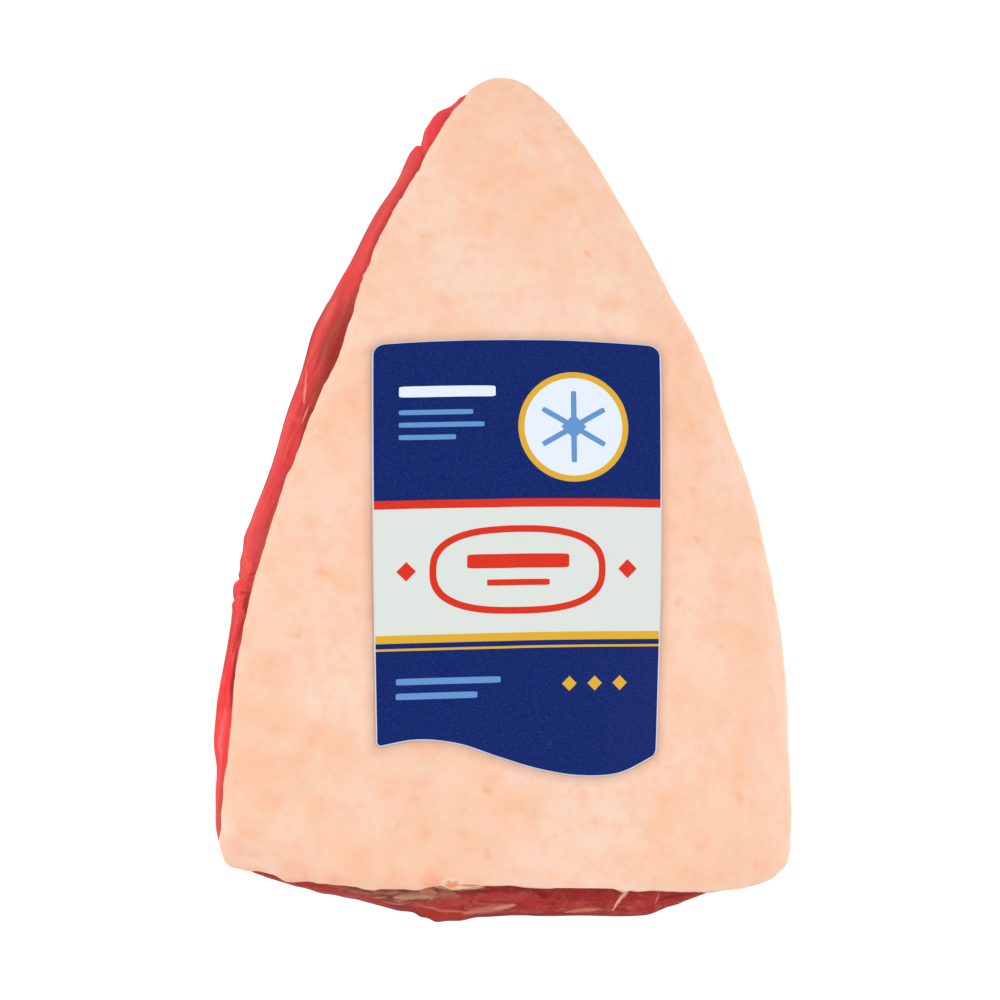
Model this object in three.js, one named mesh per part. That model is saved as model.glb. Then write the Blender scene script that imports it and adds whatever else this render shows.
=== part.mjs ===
// A raw picanha, the triangular rump cap of beef. It lies on its lean side with the fat cap up, the
// narrow end towards +Y and the wide cut end towards -Y, and a die-cut label is stuck on the fat.
// The lean is cut open along the left side and the wide end, and the fat wraps round the other edge.
// Units are millimetres, +Z is up, and the lean rests on z = 0.
import * as THREE from "three";

// The fat's top is a shallow dome, highest over the thick left half of the wide end.
const CROWN = { height: 46, x: -25, y: -60, fallAcross: 0.0014, fallAlong: 0.00055 };
const SWELL = { height: 0.5, length: 74, slant: 0.6 };
// Thickness of the fat cap, how much of it is lost towards the narrow end, and how unevenly it lies.
const FAT = { thickness: 10, loss: 2.5, from: -60, to: 150, unevenness: 1.2, unevenLength: 86 };
// Rounding of the fat's upper edge: how far it reaches in, and how high its outermost line lies.
const CUT_EDGE = { roundIn: 6, noseBelowTop: 4.5 };
const WRAPPED_EDGE = { roundIn: 22, noseHeight: 10 };
// The point that every section is drawn from, how far a slanting one is stretched at most, and the
// clearance between two pieces.
const HUB = { x: 0, y: -45 };
const MOST_STRETCH = 1.6;
const GAP = 0.3;
const FLOOR_CLEARANCE = 0.5;
// How far apart the sections stand along a cut side and along the wrapped side.
const SPACING = { cut: 4.6, wrapped: 7.5 };

// Stations round the fat's edge, clockwise from the narrow end. reach is how far the lean stands out
// past the fat there, and wrap goes from 0, cut open, to 1, where the fat closes round the lean.
const EDGE = [
  { x: -2, y: 155.4, reach: -8.5, wrap: 1 },
  { x: 4.4, y: 154.8, reach: -8.5, wrap: 1 },
  { x: 11.4, y: 150.6, reach: -8.5, wrap: 1 },
  { x: 21.2, y: 141.2, reach: -8.5, wrap: 1 },
  { x: 34.4, y: 123, reach: -8.5, wrap: 1 },
  { x: 49.7, y: 96.2, reach: -8.5, wrap: 1 },
  { x: 61.8, y: 73.2, reach: -8.5, wrap: 1 },
  { x: 73.8, y: 51, reach: -8.5, wrap: 1 },
  { x: 82.3, y: 24.8, reach: -8.5, wrap: 1 },
  { x: 91.4, y: -1.4, reach: -8.5, wrap: 1 },
  { x: 98.7, y: -36.9, reach: -8.5, wrap: 1 },
  { x: 102.4, y: -69, reach: -8.5, wrap: 1 },
  { x: 103, y: -96, reach: -8.5, wrap: 1 },
  { x: 103.3, y: -123.2, reach: -8.5, wrap: 1 },
  { x: 101.4, y: -133.4, reach: -8.4, wrap: 0.99 },
  { x: 95.6, y: -138.8, reach: -7.6, wrap: 0.94 },
  { x: 83.7, y: -142.3, reach: -3.5, wrap: 0.75 },
  { x: 67.7, y: -143.6, reach: 1.4, wrap: 0.3 },
  { x: 47.8, y: -144, reach: 7.2, wrap: 0.06 },
  { x: 15, y: -143.3, reach: 8.4, wrap: 0 },
  { x: -5.6, y: -142.4, reach: 9.8, wrap: 0 },
  { x: -22.4, y: -142.1, reach: 11.6, wrap: 0 },
  { x: -29.6, y: -142.7, reach: 8.4, wrap: 0 },
  { x: -37, y: -143, reach: 6.2, wrap: 0 },
  { x: -46.2, y: -142.7, reach: 4.7, wrap: 0.02 },
  { x: -55.4, y: -142, reach: 3.5, wrap: 0.05 },
  { x: -70.5, y: -140.6, reach: 2.4, wrap: 0.12 },
  { x: -85.9, y: -137.6, reach: 0, wrap: 0.3 },
  { x: -97, y: -134.7, reach: -2.2, wrap: 0.6 },
  { x: -100.3, y: -126.4, reach: 0, wrap: 0.24 },
  { x: -99, y: -112.5, reach: 2.2, wrap: 0.06 },
  { x: -97.4, y: -98.4, reach: 4, wrap: 0 },
  { x: -96.2, y: -84.2, reach: 6, wrap: 0 },
  { x: -94.6, y: -64, reach: 4.4, wrap: 0 },
  { x: -90.9, y: -43.3, reach: 5.6, wrap: 0 },
  { x: -87, y: -27.7, reach: 7, wrap: 0 },
  { x: -82.5, y: -12, reach: 7.3, wrap: 0 },
  { x: -74.8, y: 9.4, reach: 7.4, wrap: 0 },
  { x: -69.4, y: 25.5, reach: 8.6, wrap: 0 },
  { x: -61.9, y: 41.9, reach: 11.6, wrap: 0 },
  { x: -57.1, y: 58.5, reach: 8.4, wrap: 0 },
  { x: -51.5, y: 75.5, reach: 6.4, wrap: 0 },
  { x: -44.3, y: 92.9, reach: 5.8, wrap: 0 },
  { x: -34.6, y: 110.5, reach: 6.2, wrap: 0 },
  { x: -25.6, y: 128.6, reach: 5.4, wrap: 0.05 },
  { x: -18.2, y: 141, reach: 2.3, wrap: 0.16 },
  { x: -13.6, y: 147.8, reach: -0.2, wrap: 0.36 },
  { x: -8.2, y: 153, reach: -4.4, wrap: 0.8 },
];

// Single forms on the lean's side: the notch between the two bundles near the narrow end, and the
// small folded flap low on the left side.
const FORMS = [
  { x: -30, y: 130.5, rise: -1.6, span: 3.5 },
  { x: -96, y: -42, rise: 1.1, span: 3 },
  { x: -95, y: -47, rise: -0.6, span: 3.5 },
];
// Muscle bundles that show as soft, slanting ridges along the cut sides.
const BUNDLES = { depth: 0.25, length: 27, bend: 1.4, bendLength: 71, slant: 2.2 };

// The lean's side in a section, from its rim over a shoulder and a furrow out to its belly, and in again
// to its foot. On a cut side an inset is measured from the fat's edge, moved by share towards the belly,
// and on a wrapped one from the belly. A drop is the share of the height from the rim to the belly.
const SIDE = [
  { share: 0, cutInset: 3, wrappedInset: 6.5, cutDrop: 0, wrappedDrop: 0 },
  { share: 0, cutInset: 1.2, wrappedInset: 2.2, cutDrop: 0.08, wrappedDrop: 0.3 },
  { share: 0, cutInset: 2.2, wrappedInset: 0.5, cutDrop: 0.3, wrappedDrop: 0.62 },
  { share: 0.65, cutInset: 0, wrappedInset: 0, cutDrop: 0.62, wrappedDrop: 0.85 },
  { share: 1, cutInset: 0, wrappedInset: 0, cutDrop: 1, wrappedDrop: 1 },
];
const BELLY = { cut: 15, wrapped: 9.5, most: 0.6 };
const FOOT = [
  { inset: 1.2, height: 0.4 },
  { inset: 5, height: 0 },
];
// Share of the lean's side, from its rim to its foot, that the fat covers, and the fat's lower hem.
const COVERED = { cut: 1 / 6, wrapped: 0.86 };
const HEM = { share: 0.4, thickness: 0.6, hang: 1 };

// Where the rings of the two solids lie: on the seam and on the crown as shares of the way out from the
// hub, down the lean's covered side as shares of it, and over the fat's edge as angles from its crest.
const SEAM_RINGS = [0.32, 0.66];
const CROWN_RINGS = [0.3, 0.54, 0.74, 0.89, 1];
const COVERED_RINGS = [0, 0.33, 0.66, 1];
const OPEN_RINGS = 8;
const EDGE_RINGS = [28, 52, 72, 90];

// The label, about 100 mm by 150 mm, with the middle of its lower edge at centreX, lowerY.
const LABEL = {
  width: 101.1,
  height: 141.8,
  thickness: 0.4,
  centreX: 0.8,
  lowerY: -96.3,
  taper: 3.2,
  skew: 1.1,
  rise: 4.4,
  crown: 1.45,
  sideBow: 0.6,
  cornerRadius: { upper: 4.5, lower: 2 },
};
// Its lower edge is a shallow wave, given by its depth below the left corner at even steps. Its grid
// has extra columns, in millimetres from either side, for the round corners.
const LABEL_WAVE = [0, -1.9, -0.1, 4.8, 9.3, 11.9, 11.5, 5.3];
const LABEL_GRID = { corner: [0, 0.7, 2.2, 4.5], columns: 11, rows: 16 };

const lerp = THREE.MathUtils.lerp;

// Height of the smooth dome, before its edge is rounded off.
function crownHeight(x, y) {
  const across = x - CROWN.x;
  const along = y - CROWN.y;
  const phase = (2 * Math.PI * (x + SWELL.slant * y)) / SWELL.length;
  const swell = SWELL.height * Math.sin(phase) * Math.cos((2 * Math.PI * y) / (2 * SWELL.length));
  return CROWN.height - CROWN.fallAcross * across ** 2 - CROWN.fallAlong * along ** 2 + swell;
}

// Height at which the fat ends and the lean begins.
function seamHeight(x, y) {
  const share = THREE.MathUtils.smoothstep(y, FAT.from, FAT.to);
  const turn = (2 * Math.PI) / FAT.unevenLength;
  const uneven = FAT.unevenness * Math.sin(turn * x) * Math.cos(turn * y);
  return crownHeight(x, y) - FAT.thickness + FAT.loss * share + uneven;
}

// The sections: where each meets the fat's edge, and how long and how steep its spoke is.
function makeSections() {
  const outline = new THREE.CatmullRomCurve3(
    EDGE.map((s) => new THREE.Vector3(s.x, s.y, 0)),
    true,
    "centripetal",
  );
  const kinds = new THREE.CatmullRomCurve3(
    EDGE.map((s) => new THREE.Vector3(s.reach, s.wrap, 0)),
    true,
    "catmullrom",
    0.5,
  );
  const sections = [];
  EDGE.forEach((station, i) => {
    const next = EDGE[(i + 1) % EDGE.length];
    const length = Math.hypot(next.x - station.x, next.y - station.y);
    const wrap = (station.wrap + next.wrap) / 2;
    const count = Math.ceil(length / lerp(SPACING.cut, SPACING.wrapped, wrap));
    for (let k = 0; k < count; k++) {
      const t = (i + k / count) / EDGE.length;
      sections.push(sectionAt(outline.getPoint(t), outline.getTangent(t), kinds.getPoint(t)));
    }
  });
  let travelled = 0;
  sections.forEach((s, i) => {
    const before = sections[(i || sections.length) - 1];
    travelled += i ? Math.hypot(s.x - before.x, s.y - before.y) : 0;
    s.travelled = travelled;
  });
  return sections;
}

function sectionAt(point, tangent, kind) {
  const spoke = Math.hypot(point.x - HUB.x, point.y - HUB.y);
  const ux = (point.x - HUB.x) / spoke;
  const uy = (point.y - HUB.y) / spoke;
  const squareness = -tangent.y * ux + tangent.x * uy;
  return {
    x: point.x,
    y: point.y,
    spoke,
    ux,
    uy,
    stretch: Math.min(1 / squareness, MOST_STRETCH),
    angle: Math.atan2(uy, ux),
    reach: kind.x,
    wrap: THREE.MathUtils.clamp(kind.y, 0, 1),
  };
}

// The point of a section that lies inset millimetres in from the fat's edge, at height z.
function pointAt(section, inset, z) {
  const d = section.spoke - inset * section.stretch;
  return new THREE.Vector3(HUB.x + section.ux * d, HUB.y + section.uy * d, z);
}

// Rounding of the fat's upper edge in a section.
function edgeOf(section) {
  const roundIn = lerp(CUT_EDGE.roundIn, WRAPPED_EDGE.roundIn, section.wrap);
  const top = crownHeight(section.x, section.y);
  const nose = lerp(top - CUT_EDGE.noseBelowTop, WRAPPED_EDGE.noseHeight, section.wrap);
  return { roundIn, nose };
}

// The fat's upper surface at a point that lies inset millimetres in from the edge.
function topHeight(x, y, inset, edge) {
  const t = THREE.MathUtils.clamp(inset / edge.roundIn, 0, 1);
  return edge.nose + (crownHeight(x, y) - edge.nose) * Math.sqrt(1 - (1 - t) ** 2);
}

// The fat's upper surface over any point, from the two sections on either side of it.
function fatTopAt(sections, x, y) {
  const angle = Math.atan2(y - HUB.y, x - HUB.x);
  const turn = (a) => ((a % (2 * Math.PI)) + 2 * Math.PI) % (2 * Math.PI);
  const ahead = sections
    .map((s, i) => ({ s, i, turn: turn(s.angle - angle) }))
    .reduce((a, b) => (a.turn < b.turn ? a : b));
  const after = sections[(ahead.i + 1) % sections.length];
  const share = ahead.turn / (ahead.turn + turn(angle - after.angle));
  const mix = (key) => lerp(ahead.s[key], after[key], share);
  const edges = [edgeOf(ahead.s), edgeOf(after)];
  const edge = {
    roundIn: lerp(edges[0].roundIn, edges[1].roundIn, share),
    nose: lerp(edges[0].nose, edges[1].nose, share),
  };
  const inset = (mix("spoke") - Math.hypot(x - HUB.x, y - HUB.y)) / mix("stretch");
  return topHeight(x, y, inset, edge);
}

// The lean's side in a section, as a curve of (inset, height) from its rim down to its foot.
function leanSide(section) {
  const w = section.wrap;
  const out = -section.reach;
  const insetOf = (p) => lerp(p.share * out + p.cutInset, out + p.wrappedInset, w);
  const rim = pointAt(section, insetOf(SIDE[0]), 0);
  const top = seamHeight(rim.x, rim.y);
  const belly = Math.min(lerp(BELLY.cut, BELLY.wrapped, w), BELLY.most * top);
  const heightOf = (p) => lerp(top, belly, lerp(p.cutDrop, p.wrappedDrop, w));
  const upper = SIDE.map((p) => new THREE.Vector2(insetOf(p), heightOf(p)));
  const lower = FOOT.map((p) => new THREE.Vector2(out + p.inset, p.height * belly));
  return new THREE.SplineCurve([...upper, ...lower]);
}

// How far the lean's side is pushed out by its bundles and by the single forms.
function relief(section, point, share) {
  const phase = (2 * Math.PI * section.travelled) / BUNDLES.length;
  const bend = BUNDLES.bend * Math.sin((2 * Math.PI * section.travelled) / BUNDLES.bendLength);
  const bundles = BUNDLES.depth * Math.sin(phase + bend + BUNDLES.slant * share);
  const forms = FORMS.map((f) => {
    const away = Math.hypot(point.x - f.x, point.y - f.y) / f.span;
    return f.rise * Math.exp(-(away ** 2));
  });
  const open = (1 - section.wrap) * Math.sin(Math.PI * share);
  return open * forms.reduce((sum, f) => sum + f, bundles);
}

// A closed surface: a pole, rings that all have the same number of points, and a second pole. From the
// ring named mirrored on, its four-sided faces are split along their other diagonal, so that an inside
// and what it lies on, whose rings run the other way, are faceted alike.
function skin(firstPole, rings, lastPole, mirrored = rings.length) {
  const n = rings[0].length;
  const points = [firstPole, ...rings.flat(), lastPole];
  const at = (ring, i) => 1 + ring * n + (i % n);
  const faces = [];
  for (let i = 0; i < n; i++) {
    faces.push(0, at(0, i + 1), at(0, i));
    for (let r = 0; r + 1 < rings.length; r++) {
      const [a, b, c, d] = [at(r, i), at(r, i + 1), at(r + 1, i + 1), at(r + 1, i)];
      faces.push(...(r < mirrored ? [a, b, c, a, c, d] : [a, b, d, b, c, d]));
    }
    faces.push(points.length - 1, at(rings.length - 1, i), at(rings.length - 1, i + 1));
  }
  return surface(points, faces);
}

function surface(points, faces) {
  const geometry = new THREE.BufferGeometry().setFromPoints(points);
  geometry.setIndex(faces);
  geometry.computeVertexNormals();
  return geometry;
}

function seamRing(sections, share, lift) {
  return sections.map((s) => {
    const rim = leanSide(s).getPoint(0);
    const d = (s.spoke - rim.x * s.stretch) * share;
    const x = HUB.x + s.ux * d;
    const y = HUB.y + s.uy * d;
    return new THREE.Vector3(x, y, seamHeight(x, y) + lift);
  });
}

function coveredShare(section) {
  return lerp(COVERED.cut, COVERED.wrapped, section.wrap);
}

function makeLean(sections) {
  const side = (t, s) => {
    const p = leanSide(s).getPoint(t);
    return pointAt(s, p.x, p.y);
  };
  const rings = SEAM_RINGS.map((share) => seamRing(sections, share, 0));
  for (const k of COVERED_RINGS) {
    rings.push(sections.map((s) => side(k * coveredShare(s), s)));
  }
  for (let k = 1; k <= OPEN_RINGS; k++) {
    const share = k / OPEN_RINGS;
    rings.push(
      sections.map((s) => {
        const p = leanSide(s).getPoint(lerp(coveredShare(s), 1, share));
        const z = k === OPEN_RINGS ? 0 : p.y;
        return pointAt(s, p.x - relief(s, pointAt(s, p.x, z), share), z);
      }),
    );
  }
  const top = new THREE.Vector3(HUB.x, HUB.y, seamHeight(HUB.x, HUB.y));
  return skin(top, rings, new THREE.Vector3(HUB.x, HUB.y, 0));
}

function makeFatCap(sections) {
  const rings = [];
  for (const share of CROWN_RINGS) {
    rings.push(
      sections.map((s) => {
        const d = (s.spoke - edgeOf(s).roundIn * s.stretch) * share;
        const x = HUB.x + s.ux * d;
        const y = HUB.y + s.uy * d;
        return new THREE.Vector3(x, y, crownHeight(x, y));
      }),
    );
  }
  for (const degrees of EDGE_RINGS) {
    rings.push(
      sections.map((s) => {
        const edge = edgeOf(s);
        const inset = edge.roundIn * (1 - Math.sin(THREE.MathUtils.degToRad(degrees)));
        const p = pointAt(s, inset, 0);
        return p.setZ(topHeight(p.x, p.y, inset, edge));
      }),
    );
  }
  // The outside below the widest line: upright on a cut side, tucked in under a wrapped one.
  const lip = (s) => {
    const side = leanSide(s);
    const t = coveredShare(s);
    const p = side.getPoint(t);
    const along = side.getTangent(t);
    return p.add(new THREE.Vector2(along.y, -along.x).multiplyScalar(GAP));
  };
  const hem = (s) => Math.min(HEM.share * lip(s).x, lip(s).x - HEM.thickness);
  const below = [
    { insetOf: (s) => 0.25 * hem(s), drop: 0.55, hang: 0 },
    { insetOf: hem, drop: 1, hang: HEM.hang },
    { insetOf: (s) => lip(s).x, drop: 1, hang: 0 },
  ];
  for (const b of below) {
    rings.push(
      sections.map((s) => {
        const z = lerp(edgeOf(s).nose, lip(s).y, b.drop) - b.hang * s.wrap;
        return pointAt(s, b.insetOf(s), Math.max(z, FLOOR_CLEARANCE));
      }),
    );
  }
  // The inside follows the lean, a gap away from it.
  const inside = rings.length - 1;
  for (const k of COVERED_RINGS.slice(0, -1).reverse()) {
    rings.push(
      sections.map((s) => {
        const side = leanSide(s);
        const p = side.getPoint(k * coveredShare(s));
        const along = side.getTangent(k * coveredShare(s));
        return pointAt(s, p.x + along.y * GAP, p.y - along.x * GAP);
      }),
    );
  }
  for (const share of [...SEAM_RINGS].reverse()) {
    rings.push(seamRing(sections, share, GAP));
  }
  const top = new THREE.Vector3(HUB.x, HUB.y, crownHeight(HUB.x, HUB.y));
  const bottom = new THREE.Vector3(HUB.x, HUB.y, seamHeight(HUB.x, HUB.y) + GAP);
  return skin(top, rings, bottom, inside);
}

// The label's outline: its sides and its top bow out a little, its corners are round and its foot is a
// wave. It is stuck on a slope, so it widens and leans to the right towards the top, and rises to the right.
function labelPoint(u, v) {
  const wave = new THREE.SplineCurve(LABEL_WAVE.map((depth, i) => new THREE.Vector2(i, -depth)));
  const fromSide = Math.min(u, 1 - u) * LABEL.width;
  const corner = (r) => (fromSide < r ? r - Math.sqrt(r ** 2 - (r - fromSide) ** 2) : 0);
  const lower = wave.getPoint(u).y + corner(LABEL.cornerRadius.lower);
  const crown = LABEL.crown * (1 - (2 * u - 1) ** 2);
  const upper = LABEL.height + crown - corner(LABEL.cornerRadius.upper);
  const y = lerp(lower, upper, v) + LABEL.rise * u;
  const bow = LABEL.sideBow * (1 - (2 * v - 1) ** 2) * (2 * u - 1);
  const width = LABEL.width + LABEL.taper * (2 * v - 1);
  const x = LABEL.skew * v + (u - 0.5) * width + bow;
  return { x: LABEL.centreX + x, y: LABEL.lowerY + y };
}

function makeLabel(sections) {
  const left = LABEL_GRID.corner.map((mm) => mm / LABEL.width);
  const right = left.map((u) => 1 - u).reverse();
  const middle = Array.from({ length: LABEL_GRID.columns - 1 }, (_, k) => (k + 1) / LABEL_GRID.columns);
  const columns = [...left, ...middle, ...right];
  const rows = LABEL_GRID.rows;
  const across = columns.length;
  const layers = [GAP, GAP + LABEL.thickness];
  const points = layers.flatMap((lift) =>
    Array.from({ length: (rows + 1) * across }, (_, k) => {
      const p = labelPoint(columns[k % across], Math.floor(k / across) / rows);
      return new THREE.Vector3(p.x, p.y, fatTopAt(sections, p.x, p.y) + lift);
    }),
  );
  const under = (row, column) => row * across + column;
  const over = (row, column) => under(row, column) + (rows + 1) * across;
  const faces = [];
  const quad = (a, b, c, d) => faces.push(a, b, c, a, c, d);
  for (let r = 0; r < rows; r++) {
    for (let c = 0; c + 1 < across; c++) {
      quad(over(r, c), over(r, c + 1), over(r + 1, c + 1), over(r + 1, c));
      quad(under(r, c), under(r + 1, c), under(r + 1, c + 1), under(r, c + 1));
    }
    quad(under(r, 0), over(r, 0), over(r + 1, 0), under(r + 1, 0));
    quad(over(r, across - 1), under(r, across - 1), under(r + 1, across - 1), over(r + 1, across - 1));
  }
  for (let c = 0; c + 1 < across; c++) {
    quad(over(0, c), under(0, c), under(0, c + 1), over(0, c + 1));
    quad(under(rows, c), over(rows, c), over(rows, c + 1), under(rows, c + 1));
  }
  return surface(points, faces);
}

function piece(name, geometry, colour, roughness) {
  const material = new THREE.MeshStandardMaterial({ color: colour, roughness, metalness: 0 });
  const mesh = new THREE.Mesh(geometry, material);
  mesh.name = name;
  return mesh;
}

const sections = makeSections();
const picanha = new THREE.Group();
picanha.add(
  piece("lean", makeLean(sections), 0xc23a35, 0.4),
  piece("fat_cap", makeFatCap(sections), 0xfcd0b2, 0.5),
  piece("label", makeLabel(sections), 0x1a2c70, 0.55),
);

// The origin is under the middle of the whole piece.
const middle = new THREE.Box3().setFromObject(picanha).getCenter(new THREE.Vector3());
picanha.position.set(-middle.x, -middle.y, 0);

export default picanha;
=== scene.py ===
"""The looks of a raw picanha, the triangular rump cap of beef, which lies with its fat cap up.

The lean and the fat are finer skins drawn through the rings of the CAD solids, so they keep the solids'
form, and the label is a thin sheet laid on the fat. Lengths are millimetres until a mesh is made.
"""
import itertools
import math

import bpy
import numpy as np
from mathutils import Matrix, Vector
from mathutils.bvhtree import BVHTree


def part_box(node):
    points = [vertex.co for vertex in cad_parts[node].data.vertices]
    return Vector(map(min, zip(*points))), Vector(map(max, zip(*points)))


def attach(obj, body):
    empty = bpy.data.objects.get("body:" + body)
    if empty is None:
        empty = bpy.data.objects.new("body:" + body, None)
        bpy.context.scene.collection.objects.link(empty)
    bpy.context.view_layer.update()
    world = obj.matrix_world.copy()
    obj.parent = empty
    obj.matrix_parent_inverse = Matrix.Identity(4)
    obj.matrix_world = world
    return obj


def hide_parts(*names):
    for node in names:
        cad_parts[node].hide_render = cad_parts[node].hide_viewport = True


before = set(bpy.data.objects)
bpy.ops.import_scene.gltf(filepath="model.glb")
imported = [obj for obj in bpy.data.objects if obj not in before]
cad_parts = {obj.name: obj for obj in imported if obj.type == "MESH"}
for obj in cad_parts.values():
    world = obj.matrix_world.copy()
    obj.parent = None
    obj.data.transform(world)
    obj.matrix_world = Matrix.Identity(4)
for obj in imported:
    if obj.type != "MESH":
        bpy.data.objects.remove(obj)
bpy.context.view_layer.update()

MM = 0.001

# The camera looks down on the fat, tilted a little towards the wide end and towards the left side. It aims
# at a point at a height over the floor, given across and along from the middle of the label.
CAMERA = {"aim": (-5.1, 21.16), "height": 25, "distance": 935, "tilt": 10, "lean": 7, "lens": 94.9}
# The sky is darker overhead than at the horizon, so that glossy things seen from above keep their colour.
SKY = {"colour": (255, 254, 252), "overhead": 0.55, "horizon": 0.85}
# Soft lamps: place and size in metres, and power in watts.
LAMPS = {
    "key": {"place": (-1.1, 0.1, 1.1), "size": 0.9, "power": 7.2},
    "fill": {"place": (1.1, -0.2, 1.1), "size": 1.0, "power": 7},
}
# The floor glows white, so that next to no shadow shows on it, and lies a hair below the lean. Its side is
# in metres.
FLOOR = {"side": 8, "gap": 0.1, "shade": (110, 110, 110), "glow": 0.98}

# Fine columns for each section of the CAD skins, and fine rows for each step between their rings. The
# lean's first rings lie under the fat and are kept as they are.
COLUMNS = 5
LEAN_ROWS = {"kept rings": 3, "covered": [2, 2, 2], "open": [7] * 8, "under": 32}
FAT_ROWS = {"crown": [16, 13, 11, 8, 6], "edge": [5, 5, 4, 4], "below": [4, 4, 3]}
# The wide end begins where both y and x pass from the first value to the second.
WIDE_END = {"y": (-125, -135), "x": (-97, -90)}

# Relief of the skins in layers of height, size and seed: along the lean's fibres, all over the lean, all
# over the fat and round the fat's edge.
FIBRE_RELIEF = [(0.3, 5, 1), (0.14, 2, 2)]
LEAN_RELIEF = [(0.25, 12, 5)]
FAT_RELIEF = [(0.35, 34, 11), (0.14, 11, 12), (0.06, 4, 13)]
RIM_RELIEF = [(0.3, 6, 14), (0.2, 2.5, 15)]
# Lengthwise, the fibres' relief changes at this share of its pace across. The lean is pressed out by so much
# under the fat, which closes the gap between the CAD solids, and its underside has hollows up to so deep.
LEAN_FORM = {"lengthwise": 0.09, "pressed out": 0.5, "hollows": 0.5}
# The fat's outside stays this far above the surface that the piece rests on, or as far as the CAD's hem.
HEM_HEIGHT = 0.5

# Forms and marks on the lean's open side. Each lies along a line of points (place, drop, half width): place
# is y on the left side and x at the wide end, drop goes from 0 at the fat to 1 at the foot, and the half
# width is in millimetres. A form is given by its side, its rise, which is how far it stands out, and its
# line, and a mark by its kind, side and line. The kinds are the dark furrow, whose dark is painted shade in
# its hollow under the fat, the strands in it, the torn membrane, or fascia, and a bright band.
LEFT, WIDE = "left", "wide"
FORMS = [
    (LEFT, -1.4, [(74, 0.25, 2), (56, 0.28, 7), (40, 0.28, 8), (22, 0.26, 5), (2, 0.25, 3)]),
    (LEFT, 0.4, [(64, 0.46, 5), (44, 0.5, 8), (4, 0.46, 6)]),
    (LEFT, -1, [(136, 0.35, 6), (135, 0.7, 6)]),
    (LEFT, 0.5, [(121.5, 0.4, 4), (121.5, 0.7, 4)]),
    (LEFT, -0.8, [(118, 0.3, 2.4), (117, 0.7, 2.4)]),
    (LEFT, 1, [(-22.5, 0.36, 5), (-22.5, 0.7, 6.5)]),
    (LEFT, -0.8, [(-32.6, 0.3, 2), (-33.5, 0.7, 4)]),
    (LEFT, -1.2, [(-35, 0.3, 1.2), (-36.8, 0.7, 2.2)]),
    (LEFT, 0.5, [(-38.6, 0.34, 2), (-39.2, 0.62, 2.4)]),
    (LEFT, -1.1, [(-41.2, 0.3, 1.2), (-43.9, 0.7, 2.8)]),
    (LEFT, 0.4, [(-48.5, 0.4, 3), (-48.5, 0.7, 3)]),
    (WIDE, -0.6, [(-67, 0.3, 6), (-67, 0.7, 6)]),
    (WIDE, 0.3, [(-54, 0.3, 5), (-54, 0.7, 5)]),
    (WIDE, -1, [(-30, 0.4, 7), (-29, 0.7, 7)]),
    (WIDE, -1, [(-24.4, 0.4, 3.6), (-24.4, 0.7, 3.6)]),
    (WIDE, 0.6, [(-14, 0.4, 5), (-14, 0.7, 5)]),
    (WIDE, -1.2, [(54, 0.25, 8), (52.5, 0.7, 8)]),
    (WIDE, -0.4, [(40.4, 0.255, 1.2), (34, 0.45, 1.2)]),
]
MARKS = [
    # Painted shade in the furrow under the fat's edge.
    ("dark", LEFT, [(73, 0.25, 0.8), (62, 0.26, 1.8), (55, 0.26, 3.2), (40, 0.26, 4.4)]),
    ("dark", LEFT, [(40, 0.26, 4.4), (34, 0.26, 3.2), (22, 0.26, 2.2), (4, 0.26, 0.8)]),
    ("strand", LEFT, [(66, 0.29, 0.6), (55, 0.35, 0.8), (42, 0.365, 0.8), (24, 0.315, 0.6)]),
    ("fascia", WIDE, [(-62, 0.27, 0.6), (-54, 0.29, 1.4), (-46, 0.31, 2.4), (-37, 0.33, 3.4)]),
    ("fascia", WIDE, [(-37, 0.33, 3.4), (-28, 0.3, 2.6), (-19, 0.26, 1.6), (-9, 0.23, 0.8)]),
    ("bright", WIDE, [(-31, 0.5, 0.6), (-21, 0.52, 1.8), (-10, 0.5, 0.6)]),
]
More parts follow.
